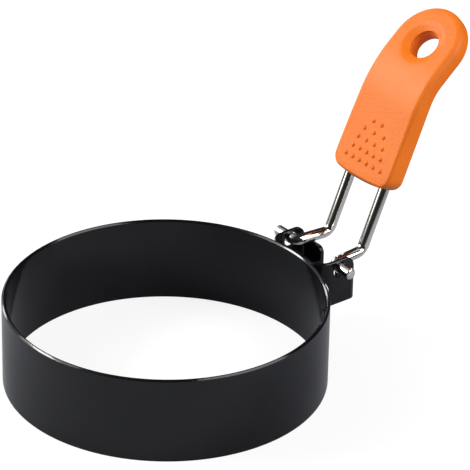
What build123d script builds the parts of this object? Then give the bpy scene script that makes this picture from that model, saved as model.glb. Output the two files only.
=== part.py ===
from build123d import *
from math import atan2, cos, degrees, radians, sin, sqrt, tan
import os

# Ring mould for eggs and omelettes, standing on z = 0 with its axis along +Z.
# The handle hinges on a bracket at +X, leans outward in use and folds inward over the ring.
# All sizes are in millimetres and degrees.

# Ring band, rolled from strip steel
ring_d = 90.0
ring_h = 25.0
ring_wall = 1.2
rim_bevel = 0.3

# Hinge bracket, one stamping folded from sheet and spot welded to the band
sheet = 1.2
bracket_h = 13.65
bracket_drop = 0.75  # from the rim down to the bracket's top edge
ear_gap = 20.7  # between the ears' inner faces
ear_fold_r = 3.8  # inside radius of the folds between plate and ears
lip_fold_r = 1.2  # inside radius of the folds between ears and lips
hinge_reach = 7.4  # from the band's outer wall out to the hinge axis
knuckle_reach = 5.1  # from the hinge axis out to the knuckle's end
knuckle_r = 3.2
hole_wall = 0.7  # metal left above each pin hole
lip_reach = 6.3  # from the hinge axis out to the lips' outer face
lip_len = 8.4  # from an ear's outer face in to its lip's free edge
lip_corner_r = 2.0
relief_h = 0.8  # slot that frees each lip's fold from the knuckle above it
top_bevel = 0.2  # on the upper edges

# Handle wire, bent from one length of round bar
wire_d = 3.2
pin_play = 0.7  # a pin hole's radius beyond the wire's
pin_lift_gap = 0.15  # left above a pin, which the leaning handle levers up
pin_out = 4.85  # pin end beyond the ear's outer face
pin_chamfer = 0.3
pin_bend_r = 2.5
link_gap = 0.45  # between a link and its ear
rest_gap = 0.15  # between a link and the lip that stops it
link_len = 11.25  # from the hinge axis out to the knee
knee_r = 4.5
leg_pitch = 14.5
leg_lean = 66.5  # the legs' slope above the horizontal
leg_out = 18.75  # from the knee to the grip's lowest point
wire_in = 31.35  # the closed end's depth in the grip

# Soft grip, moulded round the wire's closed end
grip_w = 23.6
grip_t = 6.05  # thickness of the upper part
grip_foot_t = 7.2  # thickness at the lower end
grip_back_wall = 1.1  # behind the wire
grip_taper = 1.6  # the lower part's front face closes on its back by this angle
grip_bend = 26.5  # the upper part leans outward from the lower part
grip_bend_at = 30.15  # from the lower end up to the corner between the two back faces
back_bend_r = 14.0
front_bend_r = 36.6
foot_rise_share = 0.051  # the lower end's crown, of the grip's width
foot_corner_r = 3.65
front_edge_r = 1.8
back_bevel = 1.4
mould_gap = 0.05

# Hang hole through the grip, with a soft dish on both faces
hang_d = 8.2
hang_run = 10.33  # from the corner between the two back faces up to the hole's axis
end_ahead = 0.35  # the round end's centre lies this far past the hole's
dish_w = 2.8
dish_depth = 1.2

# Raised nubs on the front face, in rows that widen towards the wire
nub_d = 1.3
nub_rise = 0.4
nub_slope = 35.0  # of a nub's sides, off the square
nub_sides = 8
nub_first = 5.1  # from the grip's lower end up to the lowest row
nub_pitch = 2.95
nub_counts = (6, 5, 4, 3, 2)
nub_row_width_shares = (0.63, 0.50, 0.44, 0.345, 0.15)  # of the grip's width

overrun = 5.0  # how far a cutting profile runs past what it cuts
near = 0.05  # how close a face lies to a place that is looked up
facing = 0.8  # least cosine between a face's normal and the way it faces

# Places worked out from the sizes above
ring_r = ring_d / 2
wire_r = wire_d / 2
bracket_top = ring_h - bracket_drop
bracket_bottom = bracket_top - bracket_h
hinge_x = ring_r + hinge_reach
hinge_z = bracket_top - hole_wall - pin_lift_gap - wire_r
hole_r = wire_r + pin_play
hole_z = hinge_z + wire_r + pin_lift_gap - hole_r
lip_top = hinge_z - wire_r - rest_gap
ear_y = ear_gap / 2 + sheet / 2
ear_fold_mid_r = ear_fold_r + sheet / 2
lip_fold_mid_r = lip_fold_r + sheet / 2
knuckle_x = hinge_x + knuckle_reach
lip_x = hinge_x + lip_reach - sheet / 2
lip_fold_x = lip_x - lip_fold_mid_r
lip_fold_y = ear_y - lip_fold_mid_r
lip_end_y = ear_y + sheet / 2 - lip_len

link_y = ear_gap / 2 - link_gap - wire_r
leg_y = leg_pitch / 2
pin_end_y = ear_y + sheet / 2 + pin_out
knee_x = hinge_x + link_len

leg_dir = Vector(cos(radians(leg_lean)), 0, sin(radians(leg_lean)))
top_lean = leg_lean - grip_bend
hang_r = hang_d / 2
face_lean = leg_lean - grip_taper


def lean_plane(origin, lean):
    """Plane square to the object's middle plane: x runs up the slope, z points inward and up."""
    slope = radians(lean)
    return Plane(origin=origin, x_dir=(cos(slope), 0, sin(slope)), z_dir=(-sin(slope), 0, cos(slope)))


def faces_at(piece, axis, place):
    """Flat faces of a piece that are square to an axis at one place along it."""
    square = piece.faces().filter_by(axis)
    return square.filter_by(lambda f: abs(f.center().dot(axis.direction) - place) < near)


# Ring band: one rolled strip, its upper edges bevelled
with BuildPart() as ring_band:
    with BuildSketch():
        Circle(ring_r)
        Circle(ring_r - ring_wall, mode=Mode.SUBTRACT)
    extrude(amount=ring_h)
    chamfer(ring_band.edges().group_by(Axis.Z)[-1], rim_bevel)

# Hinge bracket: a plate curved to the band, two ears folded outward and a stop lip folded in on each
plate_r = ring_r + sheet / 2
ear_fold_y = ear_y - ear_fold_mid_r
ear_fold_x = sqrt((plate_r + ear_fold_mid_r) ** 2 - ear_fold_y**2)
plate_angle = degrees(atan2(ear_fold_y, ear_fold_x))

with BuildPart() as hinge_bracket:
    with BuildSketch(Plane.XY.offset(bracket_bottom)):
        with BuildLine():
            CenterArc((0, 0), plate_r, -plate_angle, 2 * plate_angle)
            CenterArc((ear_fold_x, ear_fold_y), ear_fold_mid_r, 180 + plate_angle, -(90 + plate_angle))
            Line((ear_fold_x, ear_y), (lip_fold_x, ear_y))
            CenterArc((ear_fold_x, -ear_fold_y), ear_fold_mid_r, 180 - plate_angle, 90 + plate_angle)
            Line((ear_fold_x, -ear_y), (lip_fold_x, -ear_y))
        trace(line_width=sheet)
    extrude(amount=bracket_h)

    with BuildSketch(Plane.XY.offset(bracket_bottom)):
        with BuildLine():
            lip_line = [
                CenterArc((lip_fold_x, lip_fold_y), lip_fold_mid_r, 90, -90),
                Line((lip_x, lip_fold_y), (lip_x, lip_end_y)),
            ]
            mirror(lip_line, about=Plane.XZ)
        trace(line_width=sheet)
    extrude(amount=lip_top - bracket_bottom)

    with BuildSketch(Plane.XY.offset(lip_top + relief_h)):
        with BuildLine():
            knuckle_line = Line((lip_fold_x, ear_y), (knuckle_x, ear_y))
            mirror(knuckle_line, about=Plane.XZ)
        trace(line_width=sheet)
    extrude(amount=bracket_top - lip_top - relief_h)

    knuckle_ends = faces_at(hinge_bracket, Axis.X, knuckle_x)
    fillet(knuckle_ends.edges().group_by(Axis.Z)[-1], knuckle_r)
    chamfer(hinge_bracket.edges().group_by(Axis.Z)[-1], top_bevel)
    lip_ends = faces_at(hinge_bracket, Axis.Y, lip_end_y) + faces_at(hinge_bracket, Axis.Y, -lip_end_y)
    fillet(lip_ends.edges().group_by(Axis.Z)[-1], lip_corner_r)

    with BuildSketch(Plane.XZ.shift_origin((hinge_x, 0, hole_z))):
        Circle(hole_r)
    extrude(amount=ear_gap, both=True, mode=Mode.SUBTRACT)

# Handle wire: a pin at each end, a level link, a knee and a leg, closed by a square end in the grip
pin_end = Vector(hinge_x, pin_end_y, hinge_z)
pin_corner = Vector(hinge_x, link_y, hinge_z)
knee = Vector(knee_x, leg_y, hinge_z)
foot = Vector(knee_x, 0, hinge_z) + leg_dir * leg_out
leg_side = Vector(0, leg_y, 0)
end_bar = foot + leg_dir * (wire_in - wire_r)

with BuildLine() as handle_route:
    route_corners = (pin_end, pin_corner, knee, end_bar + leg_side)
    half_route = FilletPolyline(*route_corners, radius=(pin_bend_r, knee_r))
    Line(end_bar + leg_side, end_bar - leg_side)
    mirror(half_route, about=Plane.XZ)

with BuildPart() as wire_handle:
    with BuildSketch(Plane(origin=pin_end, x_dir=(1, 0, 0), z_dir=(0, -1, 0))):
        Circle(wire_r)
    sweep(path=handle_route.wires()[0], transition=Transition.RIGHT)
    pin_faces = wire_handle.faces().filter_by(Axis.Y)
    chamfer(pin_faces.edges(), pin_chamfer)

# Soft grip: a side profile of two straight parts joined by a bend, cut to its front outline
grip_side = Plane(origin=foot, x_dir=leg_dir, z_dir=(0, -1, 0))
back_q = -(wire_r + grip_back_wall)
turn = radians(grip_bend)
taper = radians(grip_taper)
up_end = Vector(cos(turn), -sin(turn))
out_end = Vector(sin(turn), cos(turn))
up_face = Vector(cos(taper), -sin(taper))
back_foot = Vector(0, back_q)
back_bend = Vector(grip_bend_at, back_q)
back_top = back_bend + up_end * (hang_run + grip_w)
front_foot = Vector(0, back_q + grip_foot_t)
front_top = back_top + out_end * grip_t
front_bend_x = (front_top.Y + front_top.X * tan(turn) - front_foot.Y) / (tan(turn) - tan(taper))
front_bend = Vector(front_bend_x, front_foot.Y - front_bend_x * tan(taper))
back_run = back_bend_r * tan(turn / 2)
front_run = front_bend_r * tan((turn - taper) / 2)
hole_mid = back_bend + up_end * hang_run + out_end * grip_t / 2
grip_reach = grip_bend_at + hang_run + grip_w
foot_rise = foot_rise_share * grip_w

end_plane = lean_plane(grip_side.from_local_coords(hole_mid), top_lean)
face_plane = lean_plane(grip_side.from_local_coords(front_foot), face_lean)

with BuildPart() as silicone_grip:
    with BuildSketch(grip_side):
        with BuildLine():
            Line(back_foot, back_bend - Vector(back_run, 0))
            TangentArc(back_bend - Vector(back_run, 0), back_bend + up_end * back_run, tangent=(1, 0))
            Polyline(back_bend + up_end * back_run, back_top, front_top, front_bend + up_end * front_run)
            TangentArc(front_bend - up_face * front_run, front_bend + up_end * front_run, tangent=up_face)
            Polyline(front_bend - up_face * front_run, front_foot, back_foot)
        make_face()
    extrude(amount=grip_w / 2, both=True)

    with BuildSketch(end_plane):
        with Locations((end_ahead, 0)):
            Circle(grip_w / 2)
            Rectangle(grip_reach, grip_w, align=(Align.MAX, Align.CENTER))
    extrude(amount=grip_reach, both=True, mode=Mode.INTERSECT)

    with BuildSketch(face_plane) as foot_outline:
        with BuildLine():
            ThreePointArc((foot_rise, -grip_w / 2), (0, 0), (foot_rise, grip_w / 2))
            Line((foot_rise, grip_w / 2), (grip_reach, grip_w / 2))
            Line((grip_reach, grip_w / 2), (grip_reach, -grip_w / 2))
            Line((grip_reach, -grip_w / 2), (foot_rise, -grip_w / 2))
        make_face()
        fillet(foot_outline.vertices().group_by(Axis.X)[0], foot_corner_r)
    extrude(amount=grip_reach, both=True, mode=Mode.INTERSECT)

    front_faces = silicone_grip.faces().filter_by(lambda f: f.normal_at().dot(face_plane.z_dir) > facing)
    fillet(front_faces.edges().filter_by(Axis.Y, reverse=True), front_edge_r)
    back_faces = silicone_grip.faces().filter_by(lambda f: f.normal_at().dot(face_plane.z_dir) < -facing)
    chamfer(back_faces.edges().filter_by(Axis.Y, reverse=True), back_bevel)

    with BuildSketch(Plane(origin=end_plane.origin, x_dir=(0, 1, 0), z_dir=end_plane.x_dir)):
        with BuildLine():
            dish_rim = Vector(hang_r + dish_w, grip_t / 2)
            dish_foot = Vector(hang_r, grip_t / 2 - dish_depth)
            dish_top = dish_rim + Vector(0, overrun)
            Polyline((0, 0), (0, dish_top.Y), dish_top, dish_rim, dish_foot, (hang_r, 0), (0, 0))
        make_face()
        mirror(about=Plane.XZ)
    revolve(axis=Axis(end_plane.origin, end_plane.z_dir), mode=Mode.SUBTRACT)

    for row, (count, width_share) in enumerate(zip(nub_counts, nub_row_width_shares)):
        row_plane = face_plane.shift_origin(face_plane.from_local_coords((nub_first + row * nub_pitch, 0)))
        with BuildSketch(row_plane):
            with GridLocations(nub_pitch, width_share * grip_w / (count - 1), 1, count):
                RegularPolygon(nub_d / 2, nub_sides)
        extrude(amount=nub_rise, taper=nub_slope)

    with BuildLine() as socket_route:
        leg_mouth = foot - leg_dir * overrun
        Polyline(leg_mouth + leg_side, end_bar + leg_side, end_bar - leg_side, leg_mouth - leg_side)
    with BuildSketch(Plane(origin=leg_mouth + leg_side, z_dir=leg_dir)):
        Circle(wire_r + mould_gap)
    sweep(path=socket_route.wires()[0], transition=Transition.RIGHT, mode=Mode.SUBTRACT)

ring_band.part.label = "ring_band"
hinge_bracket.part.label = "hinge_bracket"
wire_handle.part.label = "wire_handle"
silicone_grip.part.label = "silicone_grip"

os.makedirs("parts", exist_ok=True)
export_step(ring_band.part, "parts/ring_band.step")
export_step(hinge_bracket.part, "parts/hinge_bracket.step")
export_step(wire_handle.part, "parts/wire_handle.step")
export_step(silicone_grip.part, "parts/silicone_grip.step")
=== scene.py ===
import math
import bmesh
import bpy
from mathutils import Matrix, Vector


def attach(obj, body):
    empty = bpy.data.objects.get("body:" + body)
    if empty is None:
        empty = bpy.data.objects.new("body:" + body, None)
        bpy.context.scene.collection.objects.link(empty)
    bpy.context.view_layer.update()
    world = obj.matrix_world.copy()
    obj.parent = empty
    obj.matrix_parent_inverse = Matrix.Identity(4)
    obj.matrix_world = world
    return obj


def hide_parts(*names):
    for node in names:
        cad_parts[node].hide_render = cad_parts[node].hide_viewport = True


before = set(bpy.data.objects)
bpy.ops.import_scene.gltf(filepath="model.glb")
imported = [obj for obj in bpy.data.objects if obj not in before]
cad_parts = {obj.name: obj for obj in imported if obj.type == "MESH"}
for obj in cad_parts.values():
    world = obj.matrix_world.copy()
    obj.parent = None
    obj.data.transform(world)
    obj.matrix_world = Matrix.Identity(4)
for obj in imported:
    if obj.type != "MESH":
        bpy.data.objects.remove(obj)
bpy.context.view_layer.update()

# The photograph's viewpoint, in pixels, metres and degrees, with the sensor in millimetres
PHOTO_PX = 470
FOCAL_PX = 3413.3
SENSOR = 36.0
CLIP_NEAR, CLIP_FAR = 0.05, 20.0
DISTANCE = 0.9463
AZIMUTH = -37.3
ELEVATION = 30.88
ROLL = 0.491
PAN = -1.147
TILT = -2.377
DROP = 0.0004

# The lamps, in metres and watts: name, place, aim, size, power, colour. Key, strip and back draw
# the highlights on the rim, the coating and the wire, and the fill lights the front.
LAMPS = (
    ("key", (-0.66, 0.60, 0.47), (0.03, 0, 0.04), (0.66, 0.85), 5.8, (1.0, 0.98, 0.88)),
    ("strip", (-0.55, 0.63, 0.58), (0.03, 0, 0.03), (0.55, 0.15), 6.2, (1.0, 1.0, 1.0)),
    ("back", (0.12, 1.0, 0.16), (0.03, 0, 0.03), (0.7, 0.12), 2.0, (1.0, 1.0, 1.0)),
    ("fill", (0.40, -0.74, 0.60), (0.03, 0, 0.03), (0.9, 1.0), 12.3, (1.0, 1.0, 1.0)),
)

# The room that the gloss mirrors: dim, and brighter the nearer a direction is to the glow's
ROOM_COLOUR = (0.96, 0.98, 1.0, 1.0)
GLOW_TOWARDS = (-0.48, 0.80, 0.36)
ROOM_DIM, ROOM_GLOW, GLOW_NEARNESS = 0.025, 0.75, (0.45, 0.95)

# The floor: the white paper that the camera sees and the table that the gloss mirrors. Both
# change with the distance from the ring's middle, in metres.
FLOOR_HALF = 4.0
PAPER = (0.24, 0.24, 0.24, 1.0)
PAPER_GLOW, PAPER_GLOW_AT = (0.81, 1.0), (0.30, 1.20)
TABLE_NEAR, TABLE_FAR, TABLE_EDGE = (0.43, 0.44, 0.48), (0.03, 0.03, 0.03), (0.10, 0.26)

# Colours: two near tones for each material, and a painted shade on the grip's end face: a darker
# tone standing in for the shade under the grip, which fades out between two runs from the foot, in
# metres
COAT_TONES = (0.0035, 0.0035, 0.0050), (0.0065, 0.0065, 0.0085)
WIRE_TONES = (0.74, 0.71, 0.67), (0.82, 0.79, 0.75)
GRIP_TONES = (0.81, 0.168, 0.0070), (0.87, 0.192, 0.0100)
GRIP_END_PAINTED_SHADE = (0.17, 0.030, 0.006)
GRIP_END_SHADE_FULL, GRIP_END_SHADE_NONE = 0.0001, 0.0012

# One millimetre, and how near two points are one, in metres
MM = 0.001
WELD = 1e-6

# From here on, sizes are in millimetres. The main ones are the solids' own, less a few
# hundredths where the skin would otherwise reach past their box. The wire's bends are tighter
# than the solid's, and the edges, dishes and nubs are finer.

# The band. Its rim is a chain of short runs, each turned further inward.
RING_R, RING_H, RING_WALL = 44.98, 25.0, 1.18
RING_TURNS = 320
BASE_R, BASE_STEPS = 0.2, 4
WALL_LINES = (0.7, RING_H / 2, RING_H - 1.0)
RIM_TURNS = (8, 20, 32, 43, 44.5, 45.5, 47, 58, 70, 82)
RIM_RUNS = (0.03, 0.03, 0.03, 0.02, 0.24, 0.24, 0.02, 0.03, 0.03, 0.03)

# The bracket: its edges' rounding, the facets that are one face, and the edges that are cut
CUT_ROUND = 0.13
SAME_FACE, CUT_EDGE = math.radians(0.6), math.radians(30)
FLAT_WEIGHT = 100

# The wire, on the +Y side. FOOT is where the legs enter the grip, midway between them. Each row
# of a pin's tip is a radius and a depth from the sheared end.
WIRE_R, WIRE_SIDES = 1.6, 40
PIN_END = Vector((52.4, 16.4, 21.8))
PIN_CORNER = Vector((52.4, 8.3, 21.8))
KNEE = Vector((63.65, 7.25, 21.8))
FOOT = Vector((71.1265, 0.0, 38.9949))
LEAN = math.radians(66.5)
LEG_END = 29.75
PIN_BEND_R, KNEE_R, END_R = 2.4, 2.9, 5.0
BEND_FLAT = 0.07
BEND_STEP, FEWEST_STEPS = 5.0, 4
PIN_TIP = ((0.0, 0.0), (0.70, 0.02), (1.18, 0.05), (1.38, 0.12), (1.52, 0.24), (1.59, 0.42),
           (1.60, 0.7))

# Directions: up the leg, out of the grip's front, and across
LEG = Vector((math.cos(LEAN), 0, math.sin(LEAN)))
FRONT = Vector((-math.sin(LEAN), 0, math.cos(LEAN)))
ACROSS = Vector((0, 1, 0))

# The grip's side view: runs go up from FOOT, and heights from the legs' plane to the front
GRIP_FOOT_T, GRIP_T = 7.2, 6.05
BACK_Q = -2.7
TAPER, BEND = math.radians(1.6), math.radians(26.5)
BEND_AT, BACK_BEND_R, FRONT_BEND_R = 30.15, 14.0, 36.6
BEND_HALF = BACK_BEND_R * math.tan(BEND / 2)
BEND_START = BEND_AT - BEND_HALF
FOOT_SQUARE_RUN = 26.0

# The grip's front view. HOLE_U is the hang hole's run along the back.
GRIP_R = 11.79
HOLE_RUN, END_AHEAD = 10.33, 0.35
HOLE_U = BEND_START + BACK_BEND_R * BEND + HOLE_RUN - BEND_HALF
CROWN_R, CORNER_R = 58.444, 3.65
END_STEPS, SIDE_STEPS, CORNER_STEPS, CROWN_STEPS = 32, 28, 10, 14

# The grip's edges. Each row of the seam is a share of the side's height and of its bulge.
FRONT_R_FOOT, FRONT_R_TOP, BACK_R = 0.9, 1.8, 2.2
SOFTER_FROM, SOFTER_RUN = 8.0, 26.0
EDGE_STEPS = 7
SEAM_OUT = 0.10
SEAM_ROWS = ((0.70, 0.55), (0.52, 0.97), (0.48, 0.97), (0.30, 0.55))

# The hang hole. Each row of its wall is a radius, and a height above the back or a depth below
# the front lip.
HOLE_R, FRONT_LIP_R, BACK_LIP_R = 4.1, 4.55, 4.35
DISH_R, DISH_DEEP, DISH_POWER = 7.1, 1.0, 1.25
DISH_STEPS, FACE_STEPS, BACK_FACE_STEPS, BACK_DISH_STEPS = 8, 20, 14, 7
BACK_WALL = ((4.30, 1.03), (4.24, 1.12), (4.15, 1.5), (HOLE_R, 2.3), (HOLE_R, 3.2), (4.18, 3.9))
LIP_GROOVE = ((4.36, 0.76), (4.40, 0.68), (4.60, 0.60), (4.66, 0.48), (4.62, 0.36), (4.45, 0.28),
              (4.43, 0.16), (4.45, 0.08), (4.49, 0.03))

# The nubs: each row's count and width, and each ring's radius and height
NUB_FIRST, NUB_PITCH = 5.1, 2.95
NUB_ROWS = ((6, 14.868), (5, 11.8), (4, 10.384), (3, 8.142), (2, 3.54))
NUB_RINGS = ((0.78, -0.06), (0.69, 0.02), (0.60, 0.14), (0.48, 0.28), (0.31, 0.39), (0.14, 0.44))
NUB_TIP = 0.01
NUB_SIDES = 16


def add_object(name, data):
    obj = bpy.data.objects.new(name, data)
    bpy.context.scene.collection.objects.link(obj)
    return obj


def turn(degrees, axis):
    return Matrix.Rotation(math.radians(degrees), 3, axis)


def add_camera():
    a, e = math.radians(AZIMUTH), math.radians(ELEVATION)
    back = Vector((math.sin(a) * math.cos(e), -math.cos(a) * math.cos(e), math.sin(e)))
    right = Vector((math.cos(a), math.sin(a), 0.0))
    axes = Matrix((right, back.cross(right), back))
    axes = turn(-ROLL, "Z") @ turn(TILT, "X") @ turn(-PAN, "Y") @ axes
    place = Matrix.Translation(back * DISTANCE - Vector((0, 0, DROP)))
    data = bpy.data.cameras.new("camera")
    data.sensor_width = SENSOR
    data.lens = SENSOR * FOCAL_PX / PHOTO_PX
    data.clip_start = CLIP_NEAR
    data.clip_end = CLIP_FAR
    obj = add_object("camera", data)
    obj.matrix_world = place @ axes.transposed().to_4x4()
    bpy.context.scene.camera = obj


# Nodes

def noise(tree, place, scale, detail=2.0, roughness=0.5):
    node = tree.nodes.new("ShaderNodeTexNoise")
    node.inputs["Scale"].default_value = scale
    node.inputs["Detail"].default_value = detail
    node.inputs["Roughness"].default_value = roughness
    tree.links.new(place, node.inputs["Vector"])
    return node.outputs["Fac"]


def spread(tree, value, low, high, from_low=0.3, from_high=0.7):
    """Maps a value from one range to another; the first is by default a noise's usual one."""
    node = tree.nodes.new("ShaderNodeMapRange")
    node.inputs["From Min"].default_value = from_low
    node.inputs["From Max"].default_value = from_high
    node.inputs["To Min"].default_value = low
    node.inputs["To Max"].default_value = high
    tree.links.new(value, node.inputs["Value"])
    return node.outputs["Result"]


def reckon(tree, operation, place, other=None):
    """A number from a place: its length, or its dot product with another vector."""
    node = tree.nodes.new("ShaderNodeVectorMath")
    node.operation = operation
    tree.links.new(place, node.inputs[0])
    if other is not None:
        node.inputs[1].default_value = other
    return node.outputs["Value"]


def blend_colour(tree, factor, first, second):
    """From a first colour to a second; the first may be another node's output."""
    node = tree.nodes.new("ShaderNodeMix")
    node.data_type = "RGBA"
    if isinstance(first, tuple):
        node.inputs["A"].default_value = (*first, 1.0)
    else:
        tree.links.new(first, node.inputs["A"])
    node.inputs["B"].default_value = (*second, 1.0)
    tree.links.new(factor, node.inputs["Factor"])
    return node.outputs["Result"]


def bump(tree, height, strength, distance, under=None):
    node = tree.nodes.new("ShaderNodeBump")
    node.inputs["Strength"].default_value = strength
    node.inputs["Distance"].default_value = distance
    tree.links.new(height, node.inputs["Height"])
    if under is not None:
        tree.links.new(under, node.inputs["Normal"])
    return node.outputs["Normal"]


def split_rays(tree, camera, others):
    """One shader for what the camera sees itself, and another for every other ray."""
    path = tree.nodes.new("ShaderNodeLightPath")
    mix = tree.nodes.new("ShaderNodeMixShader")
    tree.links.new(path.outputs["Is Camera Ray"], mix.inputs["Fac"])
    tree.links.new(others, mix.inputs[1])
    tree.links.new(camera, mix.inputs[2])
    return mix.outputs["Shader"]


# Materials

def material(name):
    """A node material: itself, its tree, its shader and its object coordinates."""
    mat = bpy.data.materials.new(name)
    mat.use_nodes = True
    tree = mat.node_tree
    shader = tree.nodes["Principled BSDF"]
    place = tree.nodes.new("ShaderNodeTexCoord").outputs["Object"]
    return mat, tree, shader, place


def drift(tree, place, scale, tones):
    """A slow pattern, and the colour that it takes from one tone to the other."""
    wide = noise(tree, place, scale, detail=3.0)
    return wide, blend_colour(tree, spread(tree, wide, 0.0, 1.0), *tones)


def coating():
    """Black baked coating: satin gloss, a faint orange-peel and fine dust in it."""
    mat, tree, shader, place = material("nonstick_coating")
    wide, tint = drift(tree, place, scale=60.0, tones=COAT_TONES)
    peel = noise(tree, place, scale=420.0, detail=1.0)
    dust = noise(tree, place, scale=1400.0)
    waves = bump(tree, peel, strength=0.10, distance=0.0002)
    specks = bump(tree, dust, strength=0.12, distance=0.00005, under=waves)
    tree.links.new(tint, shader.inputs["Base Color"])
    tree.links.new(spread(tree, wide, low=0.09, high=0.14), shader.inputs["Roughness"])
    tree.links.new(specks, shader.inputs["Normal"])
    shader.inputs["Specular IOR Level"].default_value = 0.38
    return mat


def chrome():
    """Polished bright wire: faint draw marks and handling haze."""
    mat, tree, shader, place = material("polished_wire")
    wide, tint = drift(tree, place, scale=90.0, tones=WIRE_TONES)
    marks = bump(tree, noise(tree, place, scale=2600.0), strength=0.05, distance=0.00003)
    tree.links.new(tint, shader.inputs["Base Color"])
    tree.links.new(spread(tree, wide, low=0.06, high=0.11), shader.inputs["Roughness"])
    tree.links.new(marks, shader.inputs["Normal"])
    shader.inputs["Metallic"].default_value = 1.0
    return mat


def silicone():
    """Orange silicone: dense colour, painted shade darkening the end face, and a fine
    blasted-mould texture.
    """
    mat, tree, shader, place = material("orange_silicone")
    tint = drift(tree, place, scale=70.0, tones=GRIP_TONES)[1]
    # Painted shade: the first millimetre or so from the foot is darkened towards deep brown,
    # standing in for the shade under the grip, so the wire mirrors it darker
    run = reckon(tree, "DOT_PRODUCT", place, LEG)
    foot = FOOT.dot(LEG) * MM
    painted_end_shade = spread(tree, run, 1.0, 0.0, foot + GRIP_END_SHADE_FULL, foot + GRIP_END_SHADE_NONE)
    colour = blend_colour(tree, painted_end_shade, tint, GRIP_END_PAINTED_SHADE)
    grain = noise(tree, place, scale=1500.0, detail=3.0, roughness=0.6)
    texture = bump(tree, grain, strength=0.55, distance=0.00022)
    tree.links.new(colour, shader.inputs["Base Color"])
    tree.links.new(spread(tree, grain, low=0.40, high=0.54), shader.inputs["Roughness"])
    tree.links.new(texture, shader.inputs["Normal"])
    shader.inputs["Specular IOR Level"].default_value = 0.30
    return mat


def pale_floor():
    """White paper to the camera, with a faint shadow; the gloss mirrors a table in a dark room."""
    mat, tree, shader, place = material("floor_white")
    tree.nodes.remove(shader)
    far = reckon(tree, "LENGTH", place)
    grey = blend_colour(tree, spread(tree, far, 0.0, 1.0, *TABLE_EDGE), TABLE_NEAR, TABLE_FAR)
    table = tree.nodes.new("ShaderNodeBsdfDiffuse")
    tree.links.new(grey, table.inputs["Color"])
    paper = tree.nodes.new("ShaderNodeBsdfDiffuse")
    paper.inputs["Color"].default_value = PAPER
    glow = tree.nodes.new("ShaderNodeEmission")
    tree.links.new(spread(tree, far, *PAPER_GLOW, *PAPER_GLOW_AT), glow.inputs["Strength"])
    ground = tree.nodes.new("ShaderNodeAddShader")
    tree.links.new(paper.outputs["BSDF"], ground.inputs[0])
    tree.links.new(glow.outputs["Emission"], ground.inputs[1])
    surface = split_rays(tree, ground.outputs["Shader"], table.outputs["BSDF"])
    tree.links.new(surface, tree.nodes["Material Output"].inputs["Surface"])
    return mat


# Stage

def add_floor():
    mesh = bpy.data.meshes.new("floor")
    half = FLOOR_HALF
    corners = [(-half, -half, 0), (half, -half, 0), (half, half, 0), (-half, half, 0)]
    mesh.from_pydata(corners, [], [(0, 1, 2, 3)])
    mesh.materials.append(pale_floor())
    obj = add_object("floor", mesh)


def add_lamp(name, place, aim, size, watts, colour):
    data = bpy.data.lights.new(name, "AREA")
    data.shape = "RECTANGLE"
    data.size, data.size_y = size
    data.color = colour
    data.energy = watts
    obj = add_object(name, data)
    obj.location = place
    obj.rotation_euler = (Vector(aim) - Vector(place)).to_track_quat("-Z", "Y").to_euler()


def add_world():
    """White to the camera; a dim room, brighter at the back left, to everything else."""
    world = bpy.data.worlds.new("studio")
    world.use_nodes = True
    tree = world.node_tree
    room = tree.nodes["Background"]
    room.inputs["Color"].default_value = ROOM_COLOUR
    place = tree.nodes.new("ShaderNodeTexCoord").outputs["Generated"]
    towards = reckon(tree, "DOT_PRODUCT", place, GLOW_TOWARDS)
    strength = spread(tree, towards, ROOM_DIM, ROOM_GLOW, *GLOW_NEARNESS)
    tree.links.new(strength, room.inputs["Strength"])
    plain = tree.nodes.new("ShaderNodeBackground")
    plain.inputs["Color"].default_value = (1.0, 1.0, 1.0, 1.0)
    surface = split_rays(tree, plain.outputs["Background"], room.outputs["Background"])
    tree.links.new(surface, tree.nodes["World Output"].inputs["Surface"])
    bpy.context.scene.world = world


# Meshes

def edit(mesh, *changes):
    """Makes each change on the mesh as a bmesh, and writes it back."""
    solid = bmesh.new()
    solid.from_mesh(mesh)
    for change in changes:
        change(solid)
    solid.to_mesh(mesh)
    solid.free()


def weld(solid):
    bmesh.ops.remove_doubles(solid, verts=solid.verts, dist=WELD)


def face_outward(solid):
    bmesh.ops.recalc_face_normals(solid, faces=solid.faces)


def arc(middle, radius, first, last, steps):
    """Points of an arc in a flat section, with both ends."""
    angles = [math.radians(first + (last - first) * k / steps) for k in range(steps + 1)]
    return [(middle[0] + radius * math.cos(a), middle[1] + radius * math.sin(a)) for a in angles]


def weave(rows, cols, first=0, closed=True):
    """Quads over a grid of points: each row is a ring, and the rows may close on themselves."""
    faces = []
    for i in range(rows if closed else rows - 1):
        for j in range(cols):
            a, b = first + i * cols, first + (i + 1) % rows * cols
            c, d = j, (j + 1) % cols
            faces.append((a + c, a + d, b + d, b + c))
    return faces


def settle(obj, mat, body, node):
    """Finishes a piece that stands for a CAD node: smooth shading, material and body, and hides
    the node.
    """
    edit(obj.data, face_outward)
    obj.data.shade_smooth()
    obj.data.materials.clear()
    obj.data.materials.append(mat)
    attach(obj, body)
    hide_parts(node)


def add_piece(name, points, faces, mat, body, node):
    mesh = bpy.data.meshes.new(name)
    mesh.from_pydata([Vector(point) * MM for point in points], [], faces)
    obj = add_object(name, mesh)
    settle(obj, mat, body, node)
    return obj


# The band and its bracket

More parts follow.
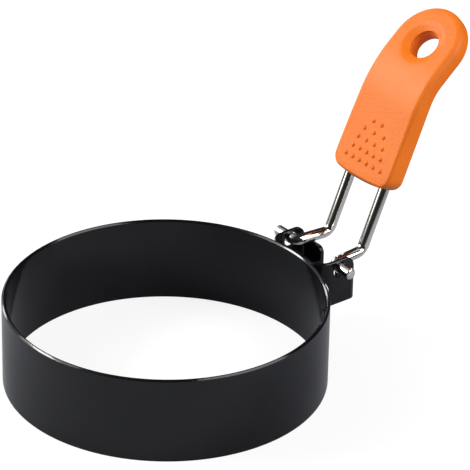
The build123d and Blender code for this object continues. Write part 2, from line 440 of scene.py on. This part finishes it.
def add_ring(mat):
    """The rolled band: both upper edges rounded over, the lower ones just broken."""
    inner = RING_R - RING_WALL
    rim = [(0.0, 0.0)]
    for angle, run in zip(RIM_TURNS, RIM_RUNS):
        a = math.radians(angle)
        rim.append((rim[-1][0] + run * math.sin(a), rim[-1][1] + run * math.cos(a)))
    shoulder = RING_H - rim[-1][1]
    section = arc((RING_R - BASE_R, BASE_R), BASE_R, -90, 0, BASE_STEPS)
    section += [(RING_R, z) for z in WALL_LINES]
    section += [(RING_R - x, shoulder + z) for x, z in rim]
    section += [(inner + x, shoulder + z) for x, z in reversed(rim)]
    section += [(inner, z) for z in reversed(WALL_LINES)]
    section += arc((inner + BASE_R, BASE_R), BASE_R, 180, 270, BASE_STEPS)
    points = []
    for k in range(RING_TURNS):
        a = 2 * math.pi * k / RING_TURNS
        points += [(r * math.cos(a), r * math.sin(a), z) for r, z in section]
    faces = weave(RING_TURNS, len(section))
    add_piece("band", points, faces, mat, "ring", "ring_band")


def join_facets(solid):
    bmesh.ops.dissolve_limit(solid, angle_limit=SAME_FACE, verts=solid.verts, edges=solid.edges)


def round_cuts(solid):
    cut = [e for e in solid.edges if e.is_manifold and e.calc_face_angle() > CUT_EDGE]
    bmesh.ops.bevel(solid, geom=cut, offset=CUT_ROUND * MM, offset_type="OFFSET", segments=2,
                    profile=0.5, affect="EDGES", clamp_overlap=True)


def add_bracket(mat):
    """The bracket's own faces, with every cut edge rounded."""
    obj = add_object("bracket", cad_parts["hinge_bracket"].data.copy())
    edit(obj.data, weld, join_facets, round_cuts)
    settle(obj, mat, "ring", "hinge_bracket")
    flat = obj.modifiers.new("flat faces", "WEIGHTED_NORMAL")
    flat.weight = FLAT_WEIGHT


# The wire

def wire_route():
    """The wire's middle line from pin to pin: places, directions and squeezes.

    A squeeze points into its bend, and its squared length is the share by which the wire's
    round section is flattened there.
    """
    top = FOOT + LEG * LEG_END + ACROSS * KNEE.y
    half = [PIN_END, PIN_CORNER, KNEE, top]
    corners = half + [Vector((p.x, -p.y, p.z)) for p in reversed(half)]
    radii = [0, PIN_BEND_R, KNEE_R, END_R, END_R, KNEE_R, PIN_BEND_R, 0]
    route = [(corners[0], (corners[1] - corners[0]).normalized(), Vector())]
    for last, corner, following, radius in zip(corners, corners[1:], corners[2:], radii[1:]):
        before = (corner - last).normalized()
        after = (following - corner).normalized()
        angle = before.angle(after)
        side = (after - before * math.cos(angle)).normalized()
        middle = corner - before * radius * math.tan(angle / 2) + side * radius
        steps = max(FEWEST_STEPS, round(math.degrees(angle) / BEND_STEP))
        for n in range(steps + 1):
            a = angle * n / steps
            inward = side * math.cos(a) - before * math.sin(a)
            along = before * math.cos(a) + side * math.sin(a)
            squeeze = BEND_FLAT * max(math.sin(math.pi * n / steps), 0.0)
            route.append((middle - radius * inward, along, inward * math.sqrt(squeeze)))
    route.append((corners[-1], (corners[-1] - corners[-2]).normalized(), Vector()))
    return route


def add_wire(mat):
    """Pins, links and legs as one round bar; the pins' sheared ends are rounded off."""
    route = wire_route()
    (first, ahead, still), (last, behind, still) = route[0], route[-1]
    rings = [(first + ahead * deep, ahead, still, r) for r, deep in PIN_TIP]
    rings += [(place, along, squeeze, WIRE_R) for place, along, squeeze in route[1:-1]]
    rings += [(last - behind * deep, behind, still, r) for r, deep in reversed(PIN_TIP)]
    across = Vector((0, 0, 1))
    points = []
    for place, along, squeeze, r in rings:
        across = (across - along * across.dot(along)).normalized()
        over = along.cross(across)
        for k in range(WIRE_SIDES):
            a = 2 * math.pi * k / WIRE_SIDES
            out = (across * math.cos(a) + over * math.sin(a)) * r
            points.append(place + out - squeeze * out.dot(squeeze))
    faces = weave(len(rings), WIRE_SIDES, closed=False)
    piece = add_piece("bar", points, faces, mat, "handle", "wire_handle")
    edit(piece.data, weld)


# The grip

def back_line(u):
    """The back in the side view, at a run along it: the place and the way to the front."""
    if u <= BEND_START:
        return Vector((u, BACK_Q)), Vector((0, 1))
    a = min((u - BEND_START) / BACK_BEND_R, BEND)
    place = Vector((BEND_START + BACK_BEND_R * math.sin(a),
                    BACK_Q - BACK_BEND_R * (1 - math.cos(a))))
    rest = u - BEND_START - BACK_BEND_R * a
    return place + rest * Vector((math.cos(a), -math.sin(a))), Vector((math.sin(a), math.cos(a)))


def front_bend():
    """The middle of the front's bend in the side view."""
    top = Vector((BEND_AT, BACK_Q)) + GRIP_T * Vector((math.sin(BEND), math.cos(BEND)))
    foot = BACK_Q + GRIP_FOOT_T
    x = (top.y + top.x * math.tan(BEND) - foot) / (math.tan(BEND) - math.tan(TAPER))
    run = FRONT_BEND_R * math.tan((BEND - TAPER) / 2)
    start = Vector((x, foot - x * math.tan(TAPER)))
    start -= run * Vector((math.cos(TAPER), -math.sin(TAPER)))
    return start - FRONT_BEND_R * Vector((math.sin(TAPER), math.cos(TAPER)))


FRONT_MIDDLE = front_bend()


def thickness(u):
    """From the back to the front, square to the back."""
    place, out = back_line(u)
    away = place - FRONT_MIDDLE
    along = away.dot(out)
    inside = along * along - away.length_squared + FRONT_BEND_R**2
    deep = math.sqrt(max(inside, 0.0)) - along
    met = place + out * deep - FRONT_MIDDLE
    a = math.atan2(met.x, met.y)
    if TAPER <= a <= BEND:
        return deep
    if a > BEND:
        return GRIP_T
    slope = Vector((math.sin(TAPER), math.cos(TAPER)))
    foot = Vector((0, BACK_Q + GRIP_FOOT_T))
    return (foot - place).dot(slope) / out.dot(slope)


def front_edge(u):
    """The front edge's rounding: crisp at the foot, and smoothly softer towards the bend."""
    share = min(max((u - SOFTER_FROM) / SOFTER_RUN, 0.0), 1.0)
    return FRONT_R_FOOT + (FRONT_R_TOP - FRONT_R_FOOT) * share * share * (3 - 2 * share)


def grip_point(u, y, n):
    """World place of a point of the grip: its run, its side, and its height above the back.

    Near the foot the runs shift with the height, so that the end face is square to the front.
    """
    u += max(0.0, 1 - u / FOOT_SQUARE_RUN) * (n - GRIP_FOOT_T) * math.tan(TAPER)
    place, out = back_line(u)
    local = place + out * n
    return FOOT + LEG * local.x + FRONT * local.y + Vector((0, y, 0))


def grip_outline():
    """The front outline: each point, its outward direction, and its bearing from the hole.

    Half of it goes from the round end's tip down the side and round the corner to the middle
    of the crowned foot, and the other half mirrors it.
    """
    end_u = HOLE_U + END_AHEAD
    half = []
    for k in range(END_STEPS + 1):
        a = math.pi / 2 * k / END_STEPS
        half.append((end_u + GRIP_R * math.cos(a), GRIP_R * math.sin(a), math.cos(a), math.sin(a)))
    corner_u = CROWN_R - math.sqrt((CROWN_R - CORNER_R) ** 2 - (GRIP_R - CORNER_R) ** 2)
    for k in range(1, SIDE_STEPS + 1):
        half.append((end_u + (corner_u - end_u) * k / SIDE_STEPS, GRIP_R, 0.0, 1.0))
    reach = math.atan2(CROWN_R - corner_u, GRIP_R - CORNER_R)
    for k in range(1, CORNER_STEPS + 1):
        a = reach * k / CORNER_STEPS
        out = (-math.sin(a), math.cos(a))
        half.append((corner_u + CORNER_R * out[0], GRIP_R - CORNER_R + CORNER_R * out[1], *out))
    crown = math.pi / 2 - reach
    for k in range(1, CROWN_STEPS + 1):
        a = crown * (1 - k / CROWN_STEPS)
        half.append((CROWN_R - CROWN_R * math.cos(a), CROWN_R * math.sin(a),
                     -math.cos(a), math.sin(a)))
    runs = [0.0]
    for before, after in zip(half, half[1:]):
        runs.append(runs[-1] + math.hypot(after[0] - before[0], after[1] - before[1]))
    quarter = runs[END_STEPS]
    loop = []
    for k, point in enumerate(half):
        rest = (runs[k] - quarter) / (runs[-1] - quarter)
        loop.append((*point, math.pi / 2 * (k / END_STEPS if k <= END_STEPS else 1 + rest)))
    return loop + [(u, -y, mu, -my, -b) for u, y, mu, my, b in reversed(loop[1:-1])]


def grip_section(u, y, mu, my, bearing):
    """One closed line of the skin: front dish, front, edges and side, back, back dish, hole."""
    edge = front_edge(u)

    def around(r):
        return HOLE_U + r * math.cos(bearing), r * math.sin(bearing)

    def inset(d):
        return u - mu * d, y - my * d

    def between(r, d, share):
        return tuple(a + (b - a) * share for a, b in zip(around(r), inset(d)))

    line = []
    for k in range(DISH_STEPS + 1):
        r = FRONT_LIP_R + (DISH_R - FRONT_LIP_R) * k / DISH_STEPS
        line.append((*around(r), GRIP_T - DISH_DEEP * (1 - k / DISH_STEPS) ** DISH_POWER))
    for k in range(1, FACE_STEPS + 1):
        place = between(DISH_R, edge, k / FACE_STEPS)
        line.append((*place, thickness(place[0])))
    for k in range(1, EDGE_STEPS + 1):
        a = math.pi / 2 * (1 - k / EDGE_STEPS)
        place = inset(edge * (1 - math.cos(a)))
        line.append((*place, thickness(place[0]) - edge * (1 - math.sin(a))))
    bulge = SEAM_OUT * my * my
    wall = thickness(u) - edge - BACK_R
    for share, out in SEAM_ROWS:
        line.append((*inset(-bulge * out), BACK_R + wall * share))
    for k in range(EDGE_STEPS + 1):
        a = math.pi / 2 * k / EDGE_STEPS
        line.append((*inset(BACK_R * (1 - math.cos(a))), BACK_R * (1 - math.sin(a))))
    for k in range(1, BACK_FACE_STEPS + 1):
        line.append((*between(DISH_R, BACK_R, 1 - k / BACK_FACE_STEPS), 0.0))
    for k in range(1, BACK_DISH_STEPS + 1):
        r = DISH_R + (BACK_LIP_R - DISH_R) * k / BACK_DISH_STEPS
        line.append((*around(r), DISH_DEEP * (k / BACK_DISH_STEPS) ** DISH_POWER))
    line += [(*around(r), n) for r, n in BACK_WALL]
    line += [(*around(r), GRIP_T - DISH_DEEP - deep) for r, deep in LIP_GROOVE]
    return [grip_point(*point) for point in line]


def nubs():
    """Low domes on the front face, each with a soft foot: one dome's points at a time."""
    slope = LEAN - TAPER
    up = Vector((math.cos(slope), 0, math.sin(slope)))
    out = Vector((-math.sin(slope), 0, math.cos(slope)))
    foot = FOOT + (BACK_Q + GRIP_FOOT_T) * FRONT
    angles = [2 * math.pi * n / NUB_SIDES for n in range(NUB_SIDES)]
    round_way = [up * math.cos(a) + ACROSS * math.sin(a) for a in angles]
    for row, (count, width) in enumerate(NUB_ROWS):
        start = foot + up * (NUB_FIRST + row * NUB_PITCH)
        for k in range(count):
            middle = start + ACROSS * (width * (k / (count - 1) - 0.5))
            points = [middle + r * way + out * h for r, h in NUB_RINGS for way in round_way]
            yield points + [middle + out * (NUB_RINGS[-1][1] + NUB_TIP)]


def add_grip(mat):
    """The moulded grip as one skin round its hang hole, and the nubs on its front."""
    sections = [grip_section(*point) for point in grip_outline()]
    points = [point for section in sections for point in section]
    faces = weave(len(sections), len(sections[0]))
    for dome in nubs():
        first, top = len(points), len(points) + len(dome) - 1
        faces += weave(len(NUB_RINGS), NUB_SIDES, first, closed=False)
        last = top - NUB_SIDES
        faces += [(last + k, last + (k + 1) % NUB_SIDES, top) for k in range(NUB_SIDES)]
        points += dome
    add_piece("grip", points, faces, mat, "handle", "silicone_grip")


add_camera()
add_floor()
add_world()
for lamp in LAMPS:
    add_lamp(*lamp)

coat, bright, orange = coating(), chrome(), silicone()
add_ring(coat)
add_bracket(coat)
add_wire(bright)
add_grip(orange)

bpy.context.scene.view_settings.view_transform = "Standard"
